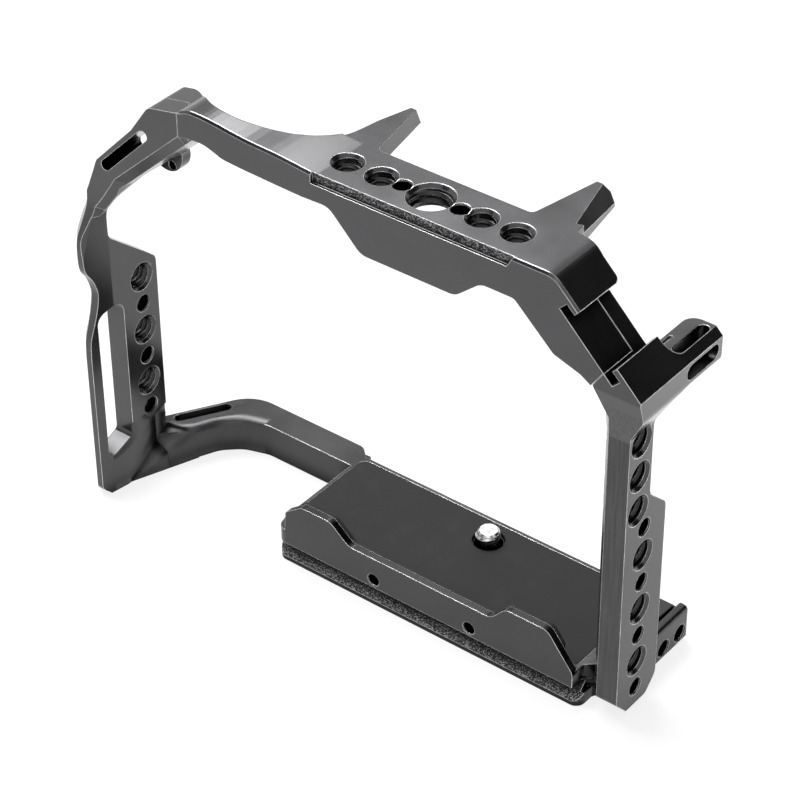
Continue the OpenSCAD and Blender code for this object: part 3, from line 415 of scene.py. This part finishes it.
def steel(name, colour, roughness, crest=STEEL_EDGE_HIGHLIGHT):
    """Turned steel: fine rings, hairline wear, a painted highlight along the edges and painted shade in
    hollows
    """
    finish = bpy.context.scene.cage_finish
    made = Finish(name)
    lines = made.noise(TURNED_RING, 3.0, RINGED)
    wear = made.noise(SCUFF, 3.0)
    # Painted highlight along the edges and thread crests
    tone = made.blend(made.edges(finish.edge_width/2), rgba(colour, STEEL_FACE), rgba(colour, crest))
    tone = made.blend(made.ramp(wear, 0.55, 0.8, 0, 0.3), tone, rgba(colour, STEEL_WORN))
    # Painted shade deep in thread grooves, holes and seams
    hollow_shade = made.ramp(made.painted_hollow_shade(finish.hollow_shade_reach/2), 0.3, 0.8)
    tone = made.blend(hollow_shade, rgba(colour, STEEL_HOLLOW_SHADE), tone)
    spread = made.ramp(wear, 0.3, 0.7, roughness, roughness + STEEL_WEAR_ROUGHNESS)
    normal = made.bumped(lines, RING_DEPTH, made.rounded(finish.edge_width/2))
    return made.close(Base_Color=tone, Metallic=1.0, Roughness=spread, Normal=normal)


def dress(node, material):
    if node not in CAGE:
        raise RuntimeError("the packed cage has no node " + node)
    slots = CAGE[node].material_slots
    if not slots:
        raise RuntimeError("node " + node + " has no material slot")
    for slot in slots:
        slot.material = material


# Place of the lens axis and of the line of deck holes in the row frame, in millimetres
LENS_AXIS, DECK_LINE = 17.95, -10.5


def spot(x, y, z):
    """A place given in millimetres from the lens axis, the line of deck holes and the bottom"""
    return Vector(((x + LENS_AXIS)/1000, (y + DECK_LINE)/1000, z/1000))


def zone(x0, x1, y0, y1, z0, z1):
    return spot(x0, y0, z0), spot(x1, y1, z1)


def new_piece(name, mesh_data, material, body):
    mesh = bpy.data.meshes.new(name)
    mesh_data.to_mesh(mesh)
    mesh_data.free()
    piece = bpy.data.objects.new(name, mesh)
    bpy.context.scene.collection.objects.link(piece)
    mesh.materials.append(material)
    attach(piece, body)
    return piece


# A thread ridge, as shares of its pitch: half its width at the wall and at the crest
FLANK_SHARE, CREST_SHARE = 0.46, 0.07
# How far the ridge is sunk in the wall, as a share of its height
SUNK_SHARE = 0.06
# Widening of the crest, as a share of the way from its half width to that at the wall
CREST_EASE = 0.02
# Part of a turn in which an end of the ridge fades into the wall, and the fewest steps of a ridge
FADE_TURN = 1/4
LEAST_STEPS = 8


def helix(mesh_data, place, wall, crest, pitch, low, high, steps):
    """A thread ridge on a round wall: six points round the ridge at each step, ends faded into the wall"""
    flank, top = pitch*FLANK_SHARE, pitch*CREST_SHARE
    low, high = low + flank, high - flank
    count = max(LEAST_STEPS, int((high - low)/pitch*steps))
    fade = steps*FADE_TURN
    rings = []
    for i in range(count + 1):
        share = min(1.0, i/fade, (count - i)/fade)
        angle = 2*math.pi*i/steps
        height = low + (high - low)*i/count
        peak = wall + (crest - wall)*share
        spread = top + (flank - top)*CREST_EASE
        ring = [(wall, -flank), (peak, -spread), (peak, spread), (wall, flank)]
        back = wall + (wall - crest)*SUNK_SHARE
        ring += [(back, flank), (back, -flank)]
        rings.append([
            mesh_data.verts.new(place @ Vector((r*math.cos(angle), r*math.sin(angle), height + z)))
            for r, z in ring])
    size = len(rings[0])
    for a, b in zip(rings, rings[1:]):
        for k in range(size):
            mesh_data.faces.new((a[k], a[(k + 1) % size], b[(k + 1) % size], b[k]))
    mesh_data.faces.new(rings[0])
    mesh_data.faces.new(list(reversed(rings[-1])))


def along(centre, axis):
    """A place whose +Z runs along the axis"""
    turn = Vector((0, 0, 1)).rotation_difference(Vector(axis)).to_matrix().to_4x4()
    return Matrix.Translation(Vector(centre)) @ turn


def threaded_places(names):
    """Centre, axis and wall radius of each threaded hole of these mounts"""
    places = []
    for name in names:
        if name not in MOUNTS:
            raise RuntimeError("the packed record has no mount " + name)
        mount = MOUNTS[name]
        dims = mount["dims"]
        centre = Vector(mount["pos_m"])
        if mount["kind"] == "bolt_pattern":
            step = Vector((dims["spacing_x_mm"]/2000, 0, 0))
            places += [(centre - step, mount["axis"], dims["hole_r_mm"]/1000)]
            places += [(centre + step, mount["axis"], dims["hole_r_mm"]/1000)]
        else:
            places.append((centre, mount["axis"], dims["r_mm"]/1000))
    return places


# A wall wider than this radius carries the 3/8 inch thread
BIG_HOLE_RADIUS = 0.004


def cut_threads(name, mounts, low, high, material):
    sizes = bpy.context.scene.cage_threads
    mesh_data = bmesh.new()
    for centre, axis, wall in threaded_places(mounts):
        pitch = sizes.big_pitch if wall > BIG_HOLE_RADIUS else sizes.quarter_pitch
        crest = wall - pitch*sizes.ridge_share
        helix(mesh_data, along(centre, axis), wall, crest, pitch, low, high, sizes.steps)
    bmesh.ops.recalc_face_normals(mesh_data, faces=mesh_data.faces)
    return new_piece(name, mesh_data, material, "root")


# Boxes of the cage where the metal looks different, in drawing millimetres
FOOT_FLOW = [zone(-89.3, -70, -12, 28, -1, 17)]
FRONT_BAND = zone(-25.6, 27.6, -7.6, -7.1, 109.9, 115)
COLUMN_FACE = zone(46, 58.6, -8.6, -3.6, 2, 88)
DOVETAIL_GROOVE = zone(-46, 47, -4.1, -0.5, 1.2, 5)

# Brightness of the ground between the coarse grains, as a share of the metal's colour
BAND_GROUND = 0.28
GROOVE_GROUND = 0.5

# The box of painted shade over the lip's top: how far it goes past the lip pad to the sides, front, back and
# up
LIP_SIDE, LIP_FRONT, LIP_BACK, LIP_UP = 0.002, 0.0018, 0.0001, 0.001


class CAGE_OT_finish_frame(bpy.types.Operator):
    """Anodise the top bar, the left frame and the right bracket"""
    bl_idname = "cage.finish_frame"
    bl_label = "Finish the frame"

    def execute(self, context):
        colour = context.scene.cage_finish.frame_colour
        metal = anodised("anodised_frame", colour, [FRONT_BAND], BAND_GROUND, FOOT_FLOW, [COLUMN_FACE])
        for node in ("top_bar", "left_frame", "right_bracket"):
            dress(node, metal)
        return {"FINISHED"}


class CAGE_OT_finish_base(bpy.types.Operator):
    """Anodise the base plate, with a grainy dovetail and painted shade on the top of the lip"""
    bl_idname = "cage.finish_base"
    bl_label = "Finish the base plate"

    def execute(self, context):
        colour = context.scene.cage_finish.base_colour
        grainy = [DOVETAIL_GROOVE]
        lip_top_shade = (Vector((PAD_LOW.x - LIP_SIDE, PAD_LOW.y - LIP_FRONT, SEAT_HIGH.z)),
                   Vector((PAD_HIGH.x + LIP_SIDE, PAD_LOW.y + LIP_BACK, PAD_HIGH.z + LIP_UP)))
        metal = anodised("anodised_base", colour, grainy, GROOVE_GROUND, FOOT_FLOW, shaded=[lip_top_shade])
        dress("base_plate", metal)
        return {"FINISHED"}


class CAGE_OT_finish_rubber(bpy.types.Operator):
    """Rubber sheet on the seat and rubber lining behind the lip"""
    bl_idname = "cage.finish_rubber"
    bl_label = "Finish the rubber"

    def execute(self, context):
        skin = rubber("moulded_rubber", context.scene.cage_finish.rubber_colour)
        dress("seat_pad", skin)
        dress("lip_pad", skin)
        return {"FINISHED"}


# Colour and roughness of each kind of steel
RING_COLOUR, RING_ROUGHNESS = (0.4, 0.4, 0.41), 0.3
BLACK_COLOUR, BLACK_ROUGHNESS = (0.05, 0.05, 0.053), 0.34
THREAD_COLOUR, THREAD_ROUGHNESS = (0.045, 0.045, 0.046), 0.2
BRIGHT_ROUGHNESS = 0.14
# Painted glint on the threads' crests, as a share of their colour
THREAD_CREST_GLINT = 6.0


class CAGE_OT_finish_fasteners(bpy.types.Operator):
    """Steel of the retaining ring, the joint screws and the tenon screws"""
    bl_idname = "cage.finish_fasteners"
    bl_label = "Finish the fasteners"

    def execute(self, context):
        dress("screw_ring", steel("ring_steel", RING_COLOUR, RING_ROUGHNESS))
        black = steel("black_steel", BLACK_COLOUR, BLACK_ROUGHNESS)
        dress("joint_screws", black)
        dress("tenon_screws", black)
        return {"FINISHED"}


# Half the length of the thread in each kind of hole
DECK_THREAD = 0.002
LEFT_THREAD = 0.0024
COLUMN_THREAD = 0.003


class CAGE_OT_cut_threads(bpy.types.Operator):
    """Cut the threads of the deck, the left plate and the column"""
    bl_idname = "cage.cut_threads"
    bl_label = "Cut the threads"

    def execute(self, context):
        metal = steel("thread_metal", THREAD_COLOUR, THREAD_ROUGHNESS, THREAD_CREST_GLINT)
        cut_threads("deck_threads", ["deck_big_hole", "deck_near_holes", "deck_far_holes"],
                    -DECK_THREAD, DECK_THREAD, metal)
        cut_threads("left_threads", ["left_hole_top", "left_hole_middle", "left_hole_low"],
                    -LEFT_THREAD, LEFT_THREAD, metal)
        column = ["neck_hole_top", "neck_hole_middle", "neck_hole_low"]
        column += ["column_hole_top", "column_hole_middle", "column_hole_low"]
        cut_threads("column_threads", column, -COLUMN_THREAD, COLUMN_THREAD, metal)
        return {"FINISHED"}


def slotted(mesh_data, middle, head_r, sizes):
    """The turned screw with a coin slot milled across the underside of its head"""
    cutter_data = bmesh.new()
    bmesh.ops.create_cube(cutter_data, size=2)
    half = Vector((head_r*2, sizes.slot_width/2, sizes.slot_depth))
    bmesh.ops.transform(cutter_data, matrix=Matrix.Translation(middle) @ Matrix.Diagonal((*half, 1)),
                        verts=cutter_data.verts)
    items = []
    for name, data in (("screw_blank", mesh_data), ("slot_cutter", cutter_data)):
        bmesh.ops.recalc_face_normals(data, faces=data.faces)
        mesh = bpy.data.meshes.new(name)
        data.to_mesh(mesh)
        data.free()
        items.append(bpy.data.objects.new(name, mesh))
        bpy.context.scene.collection.objects.link(items[-1])
    blank, cutter = items
    cut = blank.modifiers.new("coin slot", "BOOLEAN")
    cut.operation = "DIFFERENCE"
    cut.object = cutter
    result = bmesh.new()
    result.from_object(blank, bpy.context.evaluated_depsgraph_get())
    for item in items:
        mesh = item.data
        bpy.data.objects.remove(item)
        bpy.data.meshes.remove(mesh)
    return result


# The turned screw: bare shank above the seat, height of the tip, small chamfers, all in metres
THREAD_START = 0.0003
TIP_HEIGHT = 0.00085
CHAMFER = 0.0003
# Depth of the thread as a share of its pitch
THREAD_DEPTH_SHARE = 0.42
# Shares of the tip's height: its tapered part, how far that narrows, and what lies above the thread's end
TAPER_SHARE, NARROW_SHARE, RUN_OUT_SHARE = 0.6, 0.55, 0.5
# Points round the screw, and the depth of the knurl as a share of the head's radius
ROUND_POINTS = 96
KNURL_SHARE = 0.012


def screw_profile(sizes, pitch, head_r):
    """Radius and height from the middle of the head's underside to the middle of the tip"""
    low, top = SCREW_LOW.z, SCREW_HIGH.z
    thread_low = SEAT_HIGH.z + THREAD_START
    root = sizes.thread_radius - pitch*THREAD_DEPTH_SHARE
    head_top = low + sizes.head_height
    return [
        (0, low), (head_r - CHAMFER, low), (head_r, low + CHAMFER), (head_r, head_top - CHAMFER),
        (head_r - CHAMFER, head_top), (sizes.shank_radius + CHAMFER, head_top),
        (sizes.shank_radius, head_top + CHAMFER), (sizes.shank_radius, thread_low),
        (root, thread_low + CHAMFER), (root, top - TIP_HEIGHT*TAPER_SHARE),
        (root - TIP_HEIGHT*NARROW_SHARE, top), (0, top)]


def turned_blank(profile, place, head_r):
    """The profile turned round its axis, with a knurl where it is as wide as the head"""
    mesh_data = bmesh.new()
    rings = []
    for radius, height in profile:
        if radius == 0:
            rings.append([mesh_data.verts.new(place @ Vector((0, 0, height)))])
            continue
        ring = []
        for i in range(ROUND_POINTS):
            angle = 2*math.pi*i/ROUND_POINTS
            knurl = 1 - KNURL_SHARE*(i % 2) if radius == head_r else 1
            ring.append(mesh_data.verts.new(
                place @ Vector((radius*knurl*math.cos(angle), radius*knurl*math.sin(angle), height))))
        rings.append(ring)
    for a, b in zip(rings, rings[1:]):
        for i in range(ROUND_POINTS):
            j = (i + 1) % ROUND_POINTS
            if len(a) == 1:
                mesh_data.faces.new((a[0], b[j], b[i]))
            elif len(b) == 1:
                mesh_data.faces.new((a[i], a[j], b[0]))
            else:
                mesh_data.faces.new((a[i], a[j], b[j], b[i]))
    return mesh_data


class CAGE_OT_camera_screw(bpy.types.Operator):
    """Turn the camera screw, with its thread and coin slot"""
    bl_idname = "cage.camera_screw"
    bl_label = "Turn the camera screw"

    def execute(self, context):
        sizes = context.scene.cage_screw
        threads = context.scene.cage_threads
        middle = (SCREW_LOW + SCREW_HIGH)/2
        place = Matrix.Translation((middle.x, middle.y, 0))
        head_r = (SCREW_HIGH.x - SCREW_LOW.x)/2
        profile = screw_profile(sizes, threads.quarter_pitch, head_r)
        mesh_data = turned_blank(profile, place, head_r)
        mesh_data = slotted(mesh_data, place @ Vector((0, 0, SCREW_LOW.z)), head_r, sizes)
        root = sizes.thread_radius - threads.quarter_pitch*THREAD_DEPTH_SHARE
        helix(mesh_data, place, root, sizes.thread_radius, threads.quarter_pitch,
              SEAT_HIGH.z + THREAD_START, SCREW_HIGH.z - TIP_HEIGHT*RUN_OUT_SHARE, threads.steps)
        bmesh.ops.recalc_face_normals(mesh_data, faces=mesh_data.faces)
        colour = context.scene.cage_finish.steel_colour
        bright = steel("bright_steel", colour, BRIGHT_ROUGHNESS)
        screw = new_piece("camera_screw_turned", mesh_data, bright, "screw")
        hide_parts("camera_screw")
        return {"FINISHED"}


# The studio: places from the middle of the cage and sizes of lamps and flags, in metres
SOFT_BOX_PLACE, SOFT_BOX_SIZE = Vector((-0.386, 0.104, 0.693)), (0.9, 0.4)
KEY_PLACE, KEY_SIZE = Vector((0.5, -0.9, 0.8)), (0.7, 0.7)
SIDE_FLAG_PLACE, SIDE_FLAG_HALF = Vector((0.48, 0.504, 0.4)), 0.36
FRONT_FLAG_PLACE, FRONT_FLAG_HALF = Vector((-0.398, -0.478, 0.503)), 0.2
# The lamp over the floor: its place in the row frame, its size and its beam
POOL_PLACE, POOL_SIZE, POOL_BEAM = Vector((0.3, 0.26, 0.16)), (0.34, 0.34), math.radians(80)
DOWN = Vector((0, 0, -1))


class CAGE_OT_stage(bpy.types.Operator):
    """Set up the floor, the lamps, the flags and the camera"""
    bl_idname = "cage.stage"
    bl_label = "Set the stage"

    def execute(self, context):
        scene = context.scene
        stage = scene.cage_stage
        lay_floor(stage)
        light_world(scene, stage)
        middle = (CAD_LOW + CAD_HIGH)/2
        lamp("softbox", middle + SOFT_BOX_PLACE, middle, SOFT_BOX_SIZE, stage.soft_box)
        lamp("key", middle + KEY_PLACE, middle, KEY_SIZE, stage.key)
        lamp("pool", POOL_PLACE, POOL_PLACE + DOWN, POOL_SIZE, stage.pool, POOL_BEAM)
        hang_flag("side_flag", middle + SIDE_FLAG_PLACE, middle, SIDE_FLAG_HALF)
        hang_flag("front_flag", middle + FRONT_FLAG_PLACE, middle, FRONT_FLAG_HALF)
        aim_camera(scene, stage)
        scene.view_settings.view_transform = "Standard"
        return {"FINISHED"}


# The floor: how far it lies under the cage, its paint, and its paint and glow where it is seen
FLOOR_GAP = 0.00005
FLOOR_PAINT = (0.86, 0.86, 0.86)
SEEN_PAINT = (0.28, 0.28, 0.28)
SEEN_GLOW = 0.8
# Cloth of the flags, and the white of the floor's glow and of the sky
FLAG_CLOTH = (0.012, 0.012, 0.012)
WHITE = (1, 1, 1)


def lay_floor(stage):
    """A wide white floor that still takes the cage's shadow"""
    half = stage.floor_size/2
    mesh_data = bmesh.new()
    bmesh.ops.create_grid(mesh_data, x_segments=8, y_segments=8, size=half)
    mesh = bpy.data.meshes.new("floor")
    mesh_data.to_mesh(mesh)
    mesh_data.free()
    floor = bpy.data.objects.new("floor", mesh)
    floor.location = (0, 0, -FLOOR_GAP)
    bpy.context.scene.collection.objects.link(floor)
    made = Finish("white_floor")
    paint = made.feed(made.add("BsdfDiffuse"), Color=rgba(FLOOR_PAINT))
    shaded = made.feed(made.add("BsdfDiffuse"), Color=rgba(SEEN_PAINT))
    glow = made.feed(made.add("Emission"), Color=rgba(WHITE), Strength=SEEN_GLOW)
    both = made.add("AddShader")
    made.tree.links.new(shaded.outputs[0], both.inputs[0])
    made.tree.links.new(glow.outputs[0], both.inputs[1])
    pick = made.add("MixShader")
    made.tree.links.new(seen_rays(made.tree), pick.inputs[0])
    made.tree.links.new(paint.outputs[0], pick.inputs[1])
    made.tree.links.new(both.outputs[0], pick.inputs[2])
    made.tree.links.new(pick.outputs[0], made.output.inputs["Surface"])
    mesh.materials.append(made.material)


def seen_rays(tree):
    """1 for rays that show the background: seen straight, mirrored or through glass"""
    path = tree.nodes.new("ShaderNodeLightPath")
    total = path.outputs["Is Camera Ray"]
    for name in ("Is Glossy Ray", "Is Transmission Ray"):
        node = tree.nodes.new("ShaderNodeMath")
        node.operation = "MAXIMUM"
        tree.links.new(total, node.inputs[0])
        tree.links.new(path.outputs[name], node.inputs[1])
        total = node.outputs["Value"]
    return total


def light_world(scene, stage):
    world = bpy.data.worlds.new("studio")
    scene.world = world
    world.use_nodes = True
    tree = world.node_tree
    tree.nodes.clear()
    out = tree.nodes.new("ShaderNodeOutputWorld")
    sky = tree.nodes.new("ShaderNodeBackground")
    sky.inputs["Color"].default_value = rgba(WHITE)
    level = tree.nodes.new("ShaderNodeMapRange")
    tree.links.new(seen_rays(tree), level.inputs["Value"])
    level.inputs["To Min"].default_value = stage.sky
    level.inputs["To Max"].default_value = 1.0
    tree.links.new(level.outputs["Result"], sky.inputs["Strength"])
    tree.links.new(sky.outputs[0], out.inputs["Surface"])


def lamp(name, place, target, size, power, beam=math.pi):
    data = bpy.data.lights.new(name, "AREA")
    data.shape = "RECTANGLE"
    data.size, data.size_y = size
    data.energy = power
    data.spread = beam
    item = bpy.data.objects.new(name, data)
    item.location = place
    item.rotation_euler = (place - target).to_track_quat("Z", "Y").to_euler()
    bpy.context.scene.collection.objects.link(item)


def hang_flag(name, place, target, half):
    """A black studio flag that only the gloss of the metal shows"""
    mesh_data = bmesh.new()
    bmesh.ops.create_grid(mesh_data, x_segments=2, y_segments=2, size=half)
    mesh = bpy.data.meshes.new(name)
    mesh_data.to_mesh(mesh)
    mesh_data.free()
    flag = bpy.data.objects.new(name, mesh)
    flag.location = place
    flag.rotation_euler = (place - target).to_track_quat("Z", "Y").to_euler()
    bpy.context.scene.collection.objects.link(flag)
    made = Finish(name + "_cloth")
    cloth = made.feed(made.add("BsdfDiffuse"), Color=rgba(FLAG_CLOTH))
    made.tree.links.new(cloth.outputs[0], made.output.inputs["Surface"])
    mesh.materials.append(made.material)
    for kind in ("camera", "diffuse", "transmission", "volume_scatter", "shadow"):
        setattr(flag, "visible_" + kind, False)


# The camera: height of the deck that it looks at and width of its sensor in millimetres, clip in metres
DECK_HEIGHT = 114.5
SENSOR_WIDTH = 36
CLIP_NEAR, CLIP_FAR = 0.01, 100


def aim_camera(scene, stage):
    turn, rise, roll = stage.view_turn, stage.view_rise, stage.view_roll
    back = Vector((math.sin(turn)*math.cos(rise), -math.cos(turn)*math.cos(rise), math.sin(rise)))
    right = Vector((math.cos(turn), math.sin(turn), 0))
    up = back.cross(right)
    right, up = (right*math.cos(roll) + up*math.sin(roll), up*math.cos(roll) - right*math.sin(roll))
    deck = spot(0, 0, DECK_HEIGHT)
    place = deck + back*stage.view_distance - right*stage.view_side - up*stage.view_drop
    data = bpy.data.cameras.new("camera")
    data.sensor_width = SENSOR_WIDTH
    data.lens = stage.lens
    data.clip_start, data.clip_end = CLIP_NEAR, CLIP_FAR
    camera = bpy.data.objects.new("camera", data)
    camera.matrix_world = Matrix((right, up, back)).transposed().to_4x4()
    camera.location = place
    scene.collection.objects.link(camera)
    scene.camera = camera


class CAGE_PT_sidebar(bpy.types.Panel):
    """Sizes, colours and steps of the cage"""
    bl_label = "Camera Cage"
    bl_space_type = "VIEW_3D"
    bl_region_type = "UI"
    bl_category = "Cage"

    def draw(self, context):
        for operator in OPERATORS:
            self.layout.operator(operator.bl_idname)
        for group in (context.scene.cage_finish, context.scene.cage_threads,
                      context.scene.cage_screw, context.scene.cage_stage):
            box = self.layout.box()
            for name in type(group).__annotations__:
                box.prop(group, name)


OPERATORS = (
    CAGE_OT_finish_frame,
    CAGE_OT_finish_base,
    CAGE_OT_finish_rubber,
    CAGE_OT_finish_fasteners,
    CAGE_OT_cut_threads,
    CAGE_OT_camera_screw,
    CAGE_OT_stage,
)
GROUPS = {
    "cage_finish": CageFinish,
    "cage_threads": CageThreads,
    "cage_screw": CageScrew,
    "cage_stage": CageStage,
}


def register():
    for name, group in GROUPS.items():
        bpy.utils.register_class(group)
        setattr(bpy.types.Scene, name, PointerProperty(type=group))
    for operator in OPERATORS:
        bpy.utils.register_class(operator)
    bpy.utils.register_class(CAGE_PT_sidebar)


def unregister():
    bpy.utils.unregister_class(CAGE_PT_sidebar)
    for operator in reversed(OPERATORS):
        bpy.utils.unregister_class(operator)
    for name, group in reversed(GROUPS.items()):
        delattr(bpy.types.Scene, name)
        bpy.utils.unregister_class(group)


def main():
    register()
    bpy.ops.cage.finish_frame()
    bpy.ops.cage.finish_base()
    bpy.ops.cage.finish_rubber()
    bpy.ops.cage.finish_fasteners()
    bpy.ops.cage.cut_threads()
    bpy.ops.cage.camera_screw()
    bpy.ops.cage.stage()


if __name__ == "__main__":
    main()
